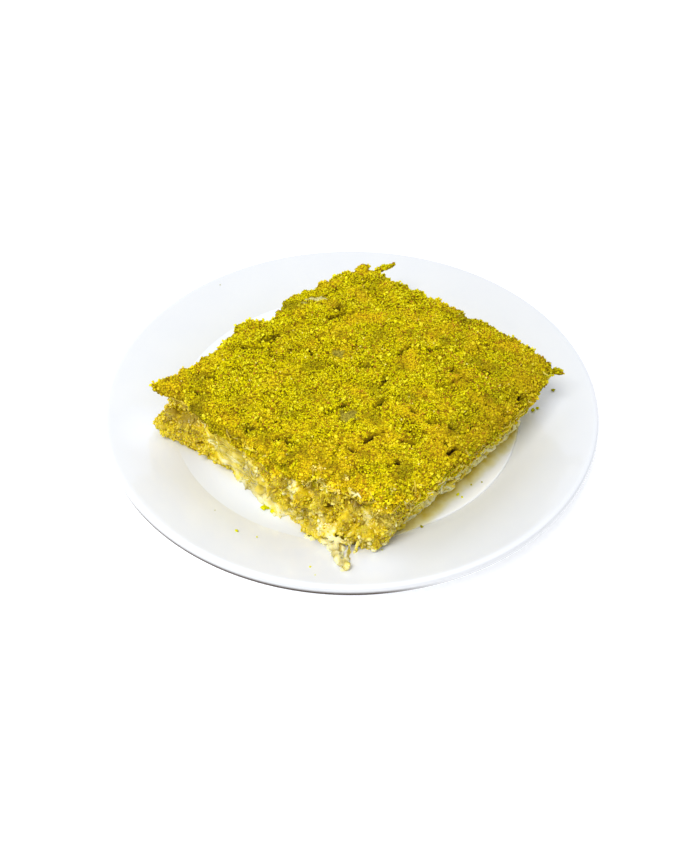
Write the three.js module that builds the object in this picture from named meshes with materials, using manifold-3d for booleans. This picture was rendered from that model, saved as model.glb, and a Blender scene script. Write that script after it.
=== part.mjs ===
// Cold kadayif: a square of milk-soaked shredded pastry under a thick layer of ground pistachio, served on
// a round white dessert plate with a shallow pool of sweet milk round its foot.
// Millimetres, +Z up. The origin is the centre of the plate's foot, on the surface that the plate stands on.
// The corner that points at the viewer lies towards -Y.

import * as THREE from "three";
import { mergeVertices } from "three/addons/utils/BufferGeometryUtils.js";
import Module from "manifold-3d";

const wasm = await Module();
wasm.setup();

// Sizes

// The plate: foot ring, flat floor, short wall, broad rising rim and a rolled lip.
const PLATE_RADIUS = 85;
const PLATE_SIDES = 60;
const FOOT_INNER_RADIUS = 45.5;
const FOOT_OUTER_RADIUS = 48.5;
const BASE_UNDERSIDE_Z = 3.4;
const FLOOR_Z = 7.2;
const LIP_CREST_Z = 19;

// The milk that the slab stands in.
const MILK_LEVEL_Z = 9.8;
const MILK_REACH = 62;

// The slab and its layers.
const SLAB_BASE_Z = 8.7;
const PASTRY_TOP_Z = 31;
const TOPPING_TOP_Z = 35.6;
const TOPPING_SIDE = 1.7;
const GAP = 0.35;

// How far the top sinks at two of its corners and rolls off at its edges.
const FRONT_SAG = 1.8;
const RIGHT_SAG = 0.3;
const RIGHT_ROLL = 1.7;
const EDGE_ROLL = 0.7;

// How far the topping reaches down the sides, as a share of the pastry's height.
const HEM = 0.84;
const LEFT_HEM = 0.96;
const LEFT_HEM_REACH = 0.46;
const RIGHT_FRONT_HEM = 0.34;

// The lower layers' lobe that sticks out at the left corner, and the hollows under the topping at the left
// and right corners. Height and width are shares of the pastry's height, reach one of the slab's width.
const LOBE = { depth: 3.0, height: 0.38, width: 0.22, reach: 0.36 };
const LEFT_HOLLOW = { depth: 5.0, height: 0.76, width: 0.13, reach: 0.2 };
const RIGHT_HOLLOW = { depth: 3.5, height: 0.62, width: 0.3, reach: 0.18 };

// Strands of shredded pastry.
const STRAND_RADIUS = 0.62;
const STRAND_SIDES = 4;
const SIDE_STRANDS = 30;
const STRAND_SEED = 7;

// How finely each solid is divided along one side of the slab.
const TOPPING_CELLS = 28;
const PASTRY_CELLS = 22;

// The slab's outline seen from above, one list for each side. Each runs between two of its corners: left,
// front, right and back.
const LEFT = [-63, -16.8];
const FRONT = [12, -65];
const RIGHT = [66.8, -8.8];
const BACK = [6, 48.5];
const TOP_SIDES = {
  leftFront: [
    LEFT,
    [-58, -18.9],
    [-53.2, -20.6],
    [-50.6, -24.2],
    [-44.8, -30.6],
    [-41.5, -34.2],
    [-36, -37.8],
    [-30, -42.6],
    [-19, -51.5],
    [-5, -56.5],
    [4, -61],
    FRONT,
  ],
  frontRight: [FRONT, [24, -54.5], [40, -38], [55, -22.5], RIGHT],
  backRight: [BACK, [14, 41], [24, 33], [34, 24], [43.5, 16.5], [53, 8], [61, 1.5], RIGHT],
  leftBack: [
    LEFT,
    [-59.5, -13],
    [-48.5, -4.6],
    [-42, 7],
    [-36, 16.6],
    [-27, 16.3],
    [-22.5, 27.5],
    [-12, 36],
    [-4.5, 44],
    BACK,
  ],
};

// The same outline where the slab meets the plate.
const FOOT_LEFT = [-63.6, -17.2];
const FOOT_FRONT = [5.5, -68.4];
const FOOT_RIGHT = [61.8, -1.4];
const FOOT_BACK = [5, 47];
const FOOT_SIDES = {
  leftFront: [
    FOOT_LEFT,
    [-60, -18.8],
    [-53.5, -22],
    [-47, -26],
    [-40, -31.5],
    [-33.5, -38],
    [-27, -44.5],
    [-21, -50.5],
    [-14, -54.5],
    [-7, -60.5],
    FOOT_FRONT,
  ],
  frontRight: [FOOT_FRONT, [12, -58], [24, -45], [36.5, -33], [50, -18], FOOT_RIGHT],
  backRight: [FOOT_BACK, [14, 38.5], [24, 30], [34, 22], [43.5, 14.5], [53, 6], FOOT_RIGHT],
  leftBack: [
    FOOT_LEFT,
    [-57, -12],
    [-46.5, -2.5],
    [-40, 7.5],
    [-34, 16.5],
    [-26, 19],
    [-20, 27],
    [-11, 34.5],
    [-3, 42],
    FOOT_BACK,
  ],
};

// Small helpers

// A repeatable stream of random numbers from 0 to 1.
function seeded(seed) {
  let state = seed;
  return () => {
    state = (state + 0x6d2b79f5) | 0;
    let t = Math.imul(state ^ (state >>> 15), 1 | state);
    t = (t + Math.imul(t ^ (t >>> 7), 61 | t)) ^ t;
    return ((t ^ (t >>> 14)) >>> 0) / 4294967296;
  };
}

// A random number from -1 to 1 that belongs to one lattice point.
function latticeValue(i, j, k) {
  const wave = Math.sin(i * 127.1 + j * 311.7 + k * 74.7) * 43758.5453;
  return 2 * (wave - Math.floor(wave)) - 1;
}

// Smooth noise from -1 to 1, whose lumps are about one unit across.
function noise(x, y, z = 0) {
  const [i, j, k] = [Math.floor(x), Math.floor(y), Math.floor(z)];
  const ease = (t) => t * t * (3 - 2 * t);
  const [fx, fy, fz] = [ease(x - i), ease(y - j), ease(z - k)];
  let sum = 0;
  for (const di of [0, 1])
    for (const dj of [0, 1])
      for (const dk of [0, 1]) {
        const weight = (di ? fx : 1 - fx) * (dj ? fy : 1 - fy) * (dk ? fz : 1 - fz);
        sum += weight * latticeValue(i + di, j + dj, k + dk);
      }
  return sum;
}

const mix = (a, b, t) => a + (b - a) * t;
const clamp01 = (t) => Math.min(1, Math.max(0, t));
const smooth = (from, to, x) => THREE.MathUtils.smoothstep(x, from, to);

function toSolid(geometry) {
  const bare = geometry.clone();
  bare.deleteAttribute("normal");
  bare.deleteAttribute("uv");
  const merged = mergeVertices(bare, 1e-4);
  return new wasm.Manifold(
    new wasm.Mesh({
      numProp: 3,
      vertProperties: new Float32Array(merged.attributes.position.array),
      triVerts: new Uint32Array(merged.index.array),
    }),
  );
}

function toGeometry(solid) {
  const mesh = solid.getMesh();
  const positions = new Float32Array(mesh.numVert * 3);
  for (let i = 0; i < mesh.numVert; i++)
    positions.set(mesh.vertProperties.subarray(i * mesh.numProp, i * mesh.numProp + 3), i * 3);
  const geometry = new THREE.BufferGeometry();
  geometry.setAttribute("position", new THREE.BufferAttribute(positions, 3));
  geometry.setIndex(new THREE.BufferAttribute(new Uint32Array(mesh.triVerts), 1));
  geometry.computeVertexNormals();
  return geometry;
}

// The largest body of a solid, without the loose scraps that a cut can leave.
function largestBody(solid) {
  return solid.decompose().reduce((best, body) => (body.volume() > best.volume() ? body : best));
}

// Turned shapes

// The plate's upper surface from the centre out to the lip's crest, as [radius, height].
const UPPER_FACE = [
  [0, FLOOR_Z],
  [51, FLOOR_Z],
  [54.5, 7.7],
  [57.4, 8.8],
  [59.6, 10.3],
  [63, 11.8],
  [72, 15.0],
  [82.2, 18.6],
  [83.4, LIP_CREST_Z],
];

// Turns a closed outline of [radius, height] points, listed inside up and round, about the vertical axis.
function turned(profile, sides) {
  const points = profile.map(([radius, height]) => new THREE.Vector2(radius, height));
  const geometry = new THREE.LatheGeometry(points, sides);
  geometry.rotateX(Math.PI / 2);
  return geometry;
}

function plateGeometry() {
  const underside = [
    [0, BASE_UNDERSIDE_Z],
    [44, BASE_UNDERSIDE_Z - 0.2],
    [FOOT_INNER_RADIUS, 0],
    [FOOT_OUTER_RADIUS, 0],
    [50.5, 3.1],
    [60, 6.6],
    [81.5, 14.3],
    [84.2, 15.3],
    [PLATE_RADIUS, 16.9],
    [84.6, 18.4],
  ];
  return turned([...underside, ...UPPER_FACE.toReversed()], PLATE_SIDES);
}

// Everything under the plate's upper face and a gap above it. Cutting this away lets a piece lie on the
// plate.
function roomForPlate() {
  const raised = UPPER_FACE.map(([radius, height]) => [radius, height + GAP]);
  const beyond = PLATE_RADIUS + 5;
  const below = [[0, -5], [beyond, -5], [beyond, LIP_CREST_Z + GAP]];
  return toSolid(turned([...below, ...raised.toReversed()], PLATE_SIDES));
}

// The slab's layers

function smoothSides(sides) {
  const curves = {};
  for (const [name, points] of Object.entries(sides))
    curves[name] = new THREE.CatmullRomCurve3(
      points.map(([x, y]) => new THREE.Vector3(x, y, 0)),
      false,
      "catmullrom",
      0.35,
    );
  return curves;
}

const topCurves = smoothSides(TOP_SIDES);
const footCurves = smoothSides(FOOT_SIDES);

// A point inside an outline of four curves, for u and v from 0 to 1.
// The left corner is (0, 0), front (1, 0) and back (0, 1).
function insideOutline(curves, u, v) {
  const near = curves.leftFront.getPointAt(u);
  const far = curves.backRight.getPointAt(u);
  const left = curves.leftBack.getPointAt(v);
  const right = curves.frontRight.getPointAt(v);
  const corners = [0, 1].flatMap((b) => [curves.leftBack.getPointAt(b), curves.frontRight.getPointAt(b)]);
  const across = (axis) =>
    mix(near[axis], far[axis], v) +
    mix(left[axis], right[axis], u) -
    mix(mix(corners[0][axis], corners[1][axis], u), mix(corners[2][axis], corners[3][axis], u), v);
  return new THREE.Vector2(across("x"), across("y"));
}

// How much a place on the slab belongs to one corner, from 0 to 1. u and v are as above.
function nearCorner(u, v, cornerU, cornerV, reach) {
  return 1 - smooth(0, reach, Math.hypot(u - cornerU, v - cornerV));
}

// The side's outline at a height h, from 0 at the plate to 1 at the top edge. grow moves it outwards.
function sidePoint(u, v, h, grow) {
  const foot = insideOutline(footCurves, u, v);
  const top = insideOutline(topCurves, u, v);
  const point = foot.clone().lerp(top, smooth(0, 0.9, h));
  const outward = top.clone().sub(insideOutline(topCurves, 0.5, 0.5)).normalize();
  const bulge = ({ depth, height, width, reach }, cornerU, cornerV) =>
    depth * nearCorner(u, v, cornerU, cornerV, reach) * Math.exp(-(((h - height) / width) ** 2));
  const corners = bulge(LOBE, 0, 0) - bulge(LEFT_HOLLOW, 0, 0) - bulge(RIGHT_HOLLOW, 1, 1);
  const { x, y } = point;
  const lumps = 0.9 * noise(x * 0.22, y * 0.22, h * 4) + 0.5 * noise(x * 0.55, y * 0.55, h * 9);
  return point.addScaledVector(outward, grow + corners + lumps * Math.sin(Math.PI * clamp01(h)) ** 0.5);
}

// A closed body over the outline, with rows of points up its sides.
// Its top and base are each a grid or one flat face.
// shape gives the place (x, y, z) for u, v and a row, where row 0 is the foot and rows is the top.
function bodyOverOutline({ cells, rows, gridded, shape }) {
  const positions = [];
  const index = [];
  const keys = new Map();
  const vertex = ([i, j], row) => {
    const key = `${i},${j},${row}`;
    if (!keys.has(key)) {
      keys.set(key, positions.length / 3);
      positions.push(...shape(i / cells, j / cells, row));
    }
    return keys.get(key);
  };
  const quad = (a, b, c, d) => index.push(a, b, c, a, c, d);
  const rim = [];
  for (let i = 0; i < cells; i++) rim.push([i, 0]);
  for (let j = 0; j < cells; j++) rim.push([cells, j]);
  for (let i = cells; i > 0; i--) rim.push([i, cells]);
  for (let j = cells; j > 0; j--) rim.push([0, j]);
  rim.forEach((here, step) => {
    const next = rim[(step + 1) % rim.length];
    for (let row = 0; row < rows; row++)
      quad(vertex(here, row), vertex(next, row), vertex(next, row + 1), vertex(here, row + 1));
  });
  for (const row of [0, rows]) {
    const flip = row === 0;
    if (gridded)
      for (let i = 0; i < cells; i++)
        for (let j = 0; j < cells; j++) {
          const corners = [[i, j], [i + 1, j], [i + 1, j + 1], [i, j + 1]].map((place) => vertex(place, row));
          quad(...(flip ? corners.reverse() : corners));
        }
    else {
      const ring = rim.map((place) => vertex(place, row));
      const outline = ring.map((k) => new THREE.Vector2(positions[3 * k], positions[3 * k + 1]));
      for (const face of THREE.ShapeUtils.triangulateShape(outline, []))
        index.push(...(flip ? face.reverse() : face).map((k) => ring[k]));
    }
  }
  const geometry = new THREE.BufferGeometry();
  geometry.setAttribute("position", new THREE.BufferAttribute(new Float32Array(positions), 3));
  geometry.setIndex(index);
  return geometry;
}

// How far in from the slab's edge a place is, as a share of the slab's width.
const edgeDistance = (u, v) => Math.min(u, 1 - u, v, 1 - v);

// How far the top is below its level: rolled off at the edges, most of all towards the right front.
function rollOff(u, v) {
  return RIGHT_ROLL * (1 - smooth(0, 0.055, 1 - u)) + EDGE_ROLL * (1 - smooth(0, 0.035, edgeDistance(u, v)));
}

// The height of the topping's surface without its lumps. It sinks a little at the front and right corners.
function toppingTop(u, v) {
  const { x, y } = insideOutline(topCurves, u, v);
  const sag = FRONT_SAG * nearCorner(u, v, 1, 0, 0.4) + RIGHT_SAG * nearCorner(u, v, 1, 1, 0.35);
  return TOPPING_TOP_Z - sag + 0.5 * noise(x * 0.05 + 3, y * 0.05) - rollOff(u, v);
}

// How far down the side the ground pistachio reaches, as a share of the slab's height.
function toppingHem(u, v) {
  const onRightFront = smooth(0.93, 0.99, u) * smooth(0.02, 0.16, v);
  const ragged = 0.05 * noise(u * 17, v * 17) + 0.03 * noise(u * 41, v * 41);
  const atLeft = nearCorner(u, v, 0, 0, LEFT_HEM_REACH);
  return mix(mix(HEM, LEFT_HEM, atLeft), RIGHT_FRONT_HEM, onRightFront) + ragged * (1 - atLeft);
}

// The shredded pastry, from the plate up to the underside of the topping.
function pastryGeometry(grow) {
  const rows = 7;
  const shape = (u, v, row) => {
    const h = row / rows;
    const hem = toppingHem(u, v);
    const covered = smooth(hem - 0.14, hem + 0.02, h);
    const { x, y } = sidePoint(u, v, h, grow - TOPPING_SIDE * covered);
    return [x, y, mix(SLAB_BASE_Z - grow, PASTRY_TOP_Z + grow, h)];
  };
  return bodyOverOutline({ cells: PASTRY_CELLS, rows, gridded: false, shape });
}

// The crumbly outside of the topping, with its lumps and worn edges.
function toppingEnvelope(grow) {
  const rows = 4;
  const shape = (u, v, row) => {
    const up = row / rows;
    const hem = toppingHem(u, v);
    const { x, y } = sidePoint(u, v, mix(hem, 1, up), 0);
    const level = mix(mix(SLAB_BASE_Z, PASTRY_TOP_Z, hem), toppingTop(u, v), up);
    const lumps = 0.8 * noise(x * 0.35, y * 0.35, level * 0.35 + 9);
    const crumble = lumps + 0.6 * noise(x * 0.9, y * 0.9, level * 0.7);
    const outward = new THREE.Vector2(x, y).normalize();
    const push = edgeDistance(u, v) === 0 ? (row === 0 ? 0.1 : 0.6) + crumble + grow : 0;
    return [x + outward.x * push, y + outward.y * push, level + 0.7 * crumble * up + mix(-grow, grow, up)];
  };
  return bodyOverOutline({ cells: TOPPING_CELLS, rows, gridded: true, shape });
}

// A thin wavy strand through the given points, as a closed tube.
function strandGeometry(points, radius) {
  const path = new THREE.CatmullRomCurve3(points.map((p) => new THREE.Vector3(...p)));
  const section = new THREE.Shape();
  for (let k = 0; k < STRAND_SIDES; k++) {
    const angle = (2 * Math.PI * k) / STRAND_SIDES;
    section[k ? "lineTo" : "moveTo"](radius * Math.cos(angle), radius * Math.sin(angle));
  }
  return new THREE.ExtrudeGeometry(section, {
    steps: points.length + 2,
    curveSegments: 1,
    extrudePath: path,
  });
}

// Strands that lie along the slab's sides, below the topping's hem.
function sideStrands() {
  const random = seeded(STRAND_SEED);
  const strands = [];
  for (let k = 0; k < SIDE_STRANDS; k++) {
    const side = k % 4;
    const start = random() * 0.84;
    const length = 0.09 + 0.12 * random();
    const height = random();
    const tilt = 0.28 * (random() - 0.5);
    const points = [];
    for (let step = 0; step < 4; step++) {
      const t = Math.min(0.99, start + (length * step) / 3);
      const [u, v] = [[t, 0], [1, t], [t, 1], [0, t]][side];
      const highest = toppingHem(u, v) - 0.13;
      const sway = tilt * (step / 3 - 0.5) + 0.05 * (random() - 0.5);
      const h = Math.min(highest, Math.max(0.16, mix(0.16, highest, height) + sway));
      const { x, y } = sidePoint(u, v, h, 0.3 + 0.5 * random());
      points.push([x, y, mix(SLAB_BASE_Z, PASTRY_TOP_Z, h)]);
    }
    strands.push(toSolid(strandGeometry(points, STRAND_RADIUS * (0.8 + 0.5 * random()))));
  }
  return strands;
}

// The few strands that have slid off the front corner and lie on the plate's rim.
function fallenStrands() {
  const tails = [
    [[-2, -60, 15.5], [-4.2, -65.5, 14.8], [-4.2, -71, 16], [-2.8, -75.4, 17.2]],
    [[-6, -58, 14.6], [-6.6, -63, 13.8], [-5.2, -68, 15.2], [-3.8, -72.2, 16.4]],
    [[-10, -55.5, 13.4], [-11.5, -60, 12.6], [-10, -63, 13.2], [-7, -65, 14.2]],
    [[1.5, -63, 16], [-0.6, -67.5, 15.6], [-1.2, -72, 16.6], [-1.4, -76.6, 17.6]],
    [[-16, -53, 12], [-13, -58, 12.3], [-7, -62.5, 13.8], [-1, -65.5, 15]],
    [[3, -63, 15.6], [1.6, -67.5, 15.4], [-0.4, -71, 16.2], [-2, -73.6, 16.9]],
  ];
  return tails.map((points) => toSolid(strandGeometry(points, STRAND_RADIUS * 1.25)));
}

// Crusts of topping that stick out at the back and right corners.
function cornerFlakes() {
  const flakes = [
    { at: [12.4, 48.8, 34.5], size: [4.9, 1.8, 1.2], turn: 0.6 },
    { at: [4.2, 49, 34.4], size: [3.4, 1.8, 1.2], turn: 0.2 },
    { at: [67.3, -8.8, 33], size: [3.2, 1.3, 0.9], turn: -0.35 },
    { at: [-62.3, -16.4, 32.9], size: [2.8, 2.0, 1.5], turn: 0.9 },
  ];
  return flakes.map(({ at, size, turn }) => {
    const lump = new THREE.IcosahedronGeometry(1, 1);
    lump.scale(...size);
    lump.rotateZ(turn);
    lump.translate(...at);
    return toSolid(lump);
  });
}

// Putting the pieces together

const plateRoom = roomForPlate();
const pastryCore = toSolid(pastryGeometry(0));
const pastryRoom = toSolid(pastryGeometry(GAP));

const topping = largestBody(
  wasm.Manifold.union([toSolid(toppingEnvelope(0)), ...cornerFlakes()]).subtract(pastryRoom),
);

const toppingRoom = wasm.Manifold.union([toSolid(toppingEnvelope(GAP)), ...cornerFlakes()]);
const strands = wasm.Manifold.union([...sideStrands(), ...fallenStrands()]).subtract(toppingRoom);
const pastry = largestBody(pastryCore.add(strands).subtract(plateRoom));

const poolOutline = [[0, 0], [MILK_REACH, 0], [MILK_REACH, MILK_LEVEL_Z], [0, MILK_LEVEL_Z]];
const pool = toSolid(turned(poolOutline, PLATE_SIDES));
const milk = largestBody(pool.subtract(plateRoom).subtract(pastryRoom));

function piece(name, geometry, color, roughness) {
  const mesh = new THREE.Mesh(geometry, new THREE.MeshStandardMaterial({ color, roughness, metalness: 0 }));
  mesh.name = name;
  return mesh;
}

const kadayif = new THREE.Group();
kadayif.name = "cold_kadayif";
kadayif.add(
  piece("plate", plateGeometry(), 0xf4f5f5, 0.15),
  piece("milk_syrup", toGeometry(milk), 0xf1eecb, 0.2),
  piece("kadayif_slab", toGeometry(pastry), 0xe6d98a, 0.45),
  piece("pistachio_topping", toGeometry(topping), 0xb7b021, 0.85),
);

export default kadayif;
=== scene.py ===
# Cold kadayif on its plate: shredded pastry soaked in sweet milk, thickly covered with ground pistachio.
# Lengths in the code are metres, or millimetres times MM.
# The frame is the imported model's: +Z up, -Y towards the viewer.

import math

import bmesh
import bpy
import numpy as np
from mathutils import Matrix, Vector, noise
from mathutils.bvhtree import BVHTree


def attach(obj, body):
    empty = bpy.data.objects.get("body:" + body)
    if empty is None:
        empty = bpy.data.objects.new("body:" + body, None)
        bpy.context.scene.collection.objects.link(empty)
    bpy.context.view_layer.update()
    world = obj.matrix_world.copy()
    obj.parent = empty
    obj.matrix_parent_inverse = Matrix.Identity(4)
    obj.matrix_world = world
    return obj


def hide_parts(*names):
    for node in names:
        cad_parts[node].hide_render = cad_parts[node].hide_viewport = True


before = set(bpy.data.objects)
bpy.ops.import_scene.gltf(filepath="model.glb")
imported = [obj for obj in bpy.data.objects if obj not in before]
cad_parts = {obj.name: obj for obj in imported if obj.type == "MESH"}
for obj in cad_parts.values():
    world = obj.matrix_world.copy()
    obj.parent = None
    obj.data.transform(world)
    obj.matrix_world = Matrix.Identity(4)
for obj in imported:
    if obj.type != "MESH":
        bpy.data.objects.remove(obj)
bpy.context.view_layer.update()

MM = 0.001

# Corners of the slab seen from above, and its outline where it meets the plate, in millimetres
LEFT = np.array([-63.0, -16.8])
FRONT = np.array([12.0, -65.0])
RIGHT = np.array([66.8, -8.8])
BACK = np.array([6.0, 48.5])
CENTRE = (LEFT + FRONT + RIGHT + BACK) / 4
FOOT = np.array([
    (-63.6, -17.2), (-47, -26), (-33.5, -38), (-21, -50.5), (-7, -60.5), (5.5, -68.4), (12, -58),
    (36.5, -33), (50, -18), (61.8, -1.4), (43.5, 14.5), (24, 30), (5, 47), (-11, 34.5), (-20, 27),
    (-26, 19), (-34, 16.5), (-46.5, -2.5), (-57, -12),
])
FOOT_LINES = np.hstack([FOOT, np.roll(FOOT, -1, axis=0)])

# Plate, as outlines of (radius, height) in millimetres, and the angles in degrees where the painted shadow
# line below its rim is in the middle and where it fades
PLATE_TURNS = 256
RIM_SHADOW_ANGLE = -112
RIM_SHADOW_SPAN = (26, 44)
PLATE_UPPER = [
    (0, 7.2), (25, 7.2), (49, 7.2), (51.5, 7.4), (54.5, 8.0), (57.4, 8.9), (59.6, 9.8), (61.2, 10.5),
    (63, 11.4), (67.5, 13.3), (72, 15.0), (77, 16.75), (80.6, 18.0), (82.2, 18.6), (83.4, 19.0),
    (84.2, 18.9),
]
PLATE_UNDER = [
    (0, 3.4), (22, 3.35), (43.2, 3.2), (44.6, 2.2), (45.5, 0.4), (46.2, 0), (47.8, 0), (48.6, 0.4),
    (50.5, 3.1), (60, 6.6), (71, 10.7), (81.5, 14.3), (84.0, 15.2), (84.9, 16.4), (85, 17.4),
    (84.8, 18.3),
]

# The topping's left edge seen from above, and the height under it where its shade ends, in millimetres
LEFT_EDGE_X = [-63, -58, -53.2, -50.6, -44.8, -41.5, -36, -30]
LEFT_EDGE_Y = [-16.8, -18.9, -20.6, -24.2, -30.6, -34.2, -37.8, -42.6]
LEFT_SHADE_END = [23.5, 24.2, 25, 25.7, 27.6, 29.2, 30, 30]

# Milk in the well of the plate. Its edge is steep on the right, and a gentle film elsewhere.
MILK_LEVEL = 9.8
MILK_REACH = 58.4
MILK_EDGE = 59.4
MILK_FILM_EDGE = 63.2
MILK_FILM_START = 55.4
MILK_DIP = 0.12
MILK_SINK = 0.4

# Finenesses and depths of the food, in millimetres
PASTRY_VOXEL = 0.56
CRUST_VOXEL = 0.52
SLID_VOXEL = 0.32
STRAND_RADIUS = 0.34
SHRED_RADIUS = 0.36
FOOT_STRAND_RADIUS = 0.55
STRAND_STEP = 1.1
STRAND_LIMIT = 5.0
CRACK_MARGIN = 0.4
CRACK_DEPTH = 2.2
THIN_DEPTH = 0.3
HOLE_DEPTH = 1.6
CREAM_SWELL = 0.4

# Strewn bits have one of a few shapes, and strands are tubes with a few sides
BIT_SHAPES = 4
CHIP_SIDE = 1.3
TUBE_SIDES = 5

# Cracks and pits in the topping, as (x, y, x, y, half width) in millimetres
CRACKS = [
    (-35.7, 1.3, -27.0, 0.5, 0.6), (-36.8, 1.8, -34.4, 1.1, 0.9), (-30.2, 4.3, -25.0, 7.4, 1.1),
    (-46.9, -13.3, -44.5, -14.0, 0.9), (-51.4, -20.0, -48.6, -21.9, 0.5),
    (-48.6, -21.9, -45.6, -22.0, 0.6), (-7.6, -31.0, -1.9, -26.8, 0.65), (-12.3, 7.4, -10.3, 5.1, 1.0),
    (-5.7, 22.4, -4.2, 23.3, 0.9), (-7.6, 16.2, -5.1, 17.0, 0.9), (-7.1, -8.3, -5.3, -7.6, 0.7),
    (-11.2, -5.7, -10.3, -5.2, 0.6), (-14.5, 0.5, -13.0, -2.5, 0.5), (-4.6, 19.5, 1.9, 19.9, 0.4),
    (9.3, -19.5, 11.5, -13.9, 0.55), (7.3, -28.1, 10.9, -24.1, 0.8), (27.5, -18.7, 31.3, -17.7, 0.65),
    (31.3, -17.7, 36.6, -14.2, 0.45), (16.3, -2.4, 17.9, -0.2, 0.5), (17.9, -0.2, 20.3, 1.4, 0.5),
    (26.4, -0.9, 29.4, -0.1, 0.8), (18.8, -29.3, 20.0, -30.6, 0.65), (34.6, -12.0, 35.3, -11.5, 0.6),
    (42.1, -10.4, 44.0, -10.4, 0.7), (3.4, -8.3, 6.7, -9.0, 0.8), (3.9, -43.0, 6.7, -40.6, 0.8),
    (6.7, -40.6, 10.3, -38.5, 0.5), (15.7, -42.7, 19.1, -43.4, 0.8), (23.7, -34.8, 27.8, -34.4, 0.45),
    (18.4, -38.8, 24.4, -39.2, 0.45), (10.9, -52.2, 13.9, -50.9, 0.8), (29.3, -46.8, 32.0, -44.3, 0.6),
    (53.9, -23.5, 55.7, -21.9, 0.9), (-31.6, -37.8, -30.2, -37.1, 1.1),
    (-22.3, -40.6, -16.6, -44.4, 0.65), (-0.8, -45.5, 1.7, -46.8, 0.7), (-27.8, -32.9, -27.1, -32.6, 0.6),
]

# Spots where the topping is thin and wet pastry shows through, as (x, y, half length, half width, pallor)
THIN_SPOTS = [
    (-12.6, 28.0, 3.8, 1.9, 1.0), (-16.8, 25.4, 1.5, 1.0, 0.7), (-4.3, -2.3, 2.6, 2.4, 0.62),
    (-0.9, -31.8, 3.3, 3.2, 0.62), (6.2, -7.0, 2.2, 1.8, 0.2),
]

# Cream-coloured clumps of torn pastry at the crumbled front corner, as (x, y, z, radius) in millimetres
PALE_CLUMPS = [
    (-17.4, -51.0, 25.7, 2.2), (-16.5, -52.3, 23.1, 2.4), (-9.6, -53.5, 34.3, 1.7),
    (-9.0, -56.0, 32.3, 1.5), (-7.3, -56.4, 29.2, 2.2), (-5.2, -57.1, 29.2, 1.6),
    (-1.4, -56.7, 33.9, 1.3), (4.7, -62.2, 23.4, 1.9), (-2.3, -60.5, 17.5, 1.9), (-7.8, -58.1, 15.1, 2.3),
    (-6.0, -60.3, 14.5, 2.4), (3.2, -61.7, 30.9, 1.1), (1.2, -59.9, 31.4, 1.7), (-13.2, -54.5, 28.8, 1.5),
    (11.2, -64.1, 20.3, 1.8), (-3.2, -64.9, 15.0, 2.2), (-11.9, -55.2, 14.3, 1.7),
    (-18.8, -51.5, 14.7, 2.3), (-19.7, -51.1, 22.2, 1.6), (12.0, -60.3, 33.7, 1.1),
    (0.4, -66.6, 15.9, 1.6),
]

# Soft lumps that stand out from the lobe and the crumbled corner, as (x, y, z, radius) in millimetres
SIDE_LUMPS = [
    (-62.4, -18.4, 19.5, 2.2), (-60.0, -19.6, 21.8, 1.9), (-58.3, -20.4, 24.0, 1.8),
    (-56.2, -21.5, 22.2, 2.4), (-53.6, -23.0, 23.4, 2.5), (-51.0, -24.8, 22.4, 2.0),
    (-58.8, -20.8, 18.6, 1.9), (-55.6, -22.4, 18.4, 2.3), (-52.2, -24.4, 18.8, 2.3),
    (-49.0, -26.6, 19.6, 2.5), (-47.0, -28.4, 18.6, 2.2), (-48.0, -27.4, 15.6, 2.4),
    (-51.4, -23.8, 14.8, 2.0), (-57.6, -20.2, 14.6, 1.8), (-61.6, -18.4, 15.4, 1.8),
    (-54.4, -22.2, 14.4, 1.7), (-20.4, -51.4, 28.0, 1.8), (-13.8, -53.6, 22.6, 2.2),
    (-8.6, -56.4, 20.7, 2.4), (-0.8, -60.4, 19.6, 2.4), (5.1, -64.4, 18.7, 2.4), (-5.4, -59.9, 14.2, 2.2),
    (5.9, -64.9, 15.6, 2.0), (-3.2, -56.7, 25.5, 2.0), (8.5, -62.2, 26.2, 2.0), (-15.6, -52.9, 14.9, 1.9),
    (-20.2, -51.3, 17.7, 2.1), (9.9, -65.8, 21.6, 2.0), (-8.8, -57.6, 13.7, 2.0),
    (-24.7, -48.0, 23.2, 1.8), (-28.5, -44.5, 15.5, 1.8), (-35.4, -34.4, 10.6, 2.4),
    (-32.3, -37.5, 10.4, 2.6), (-29.6, -40.6, 10.6, 2.6), (-27.0, -43.6, 10.4, 2.7),
    (-24.3, -46.5, 10.6, 2.6), (-21.9, -49.0, 10.8, 2.5), (-31.0, -39.4, 12.4, 2.0),
    (-25.7, -45.2, 12.2, 2.0),
]

# Holes in the crumbled corner, dug in and painted dark as shade, as (x, y, z, radius) in millimetres
HOLES = [
    (-5.9, -57.4, 22.2, 1.2), (2.1, -59.6, 25.3, 1.1), (9.5, -63.9, 29.5, 1.2), (4.5, -66.3, 14.0, 0.8),
    (-17.8, -53.3, 20.1, 1.0), (-50.9, -28.6, 27.5, 1.0),
]

# The tongue of slid pastry, as (x, y, x, y) in millimetres, and the loose strand of the solid that drops out
# of sight where the tongue lies
TONGUE = (-6, -65.5, -1.5, -77)
HIDDEN_STRAND = (1.4, -68.4, -0.5, -73.0)
HIDDEN_DROP = 2.8

# The height of the soft side's upper end along x, in millimetres
SOFT_TOP_X = [-46, -42, -34, -26]
SOFT_TOP_Z = [24, 28, 27, 20]

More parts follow.
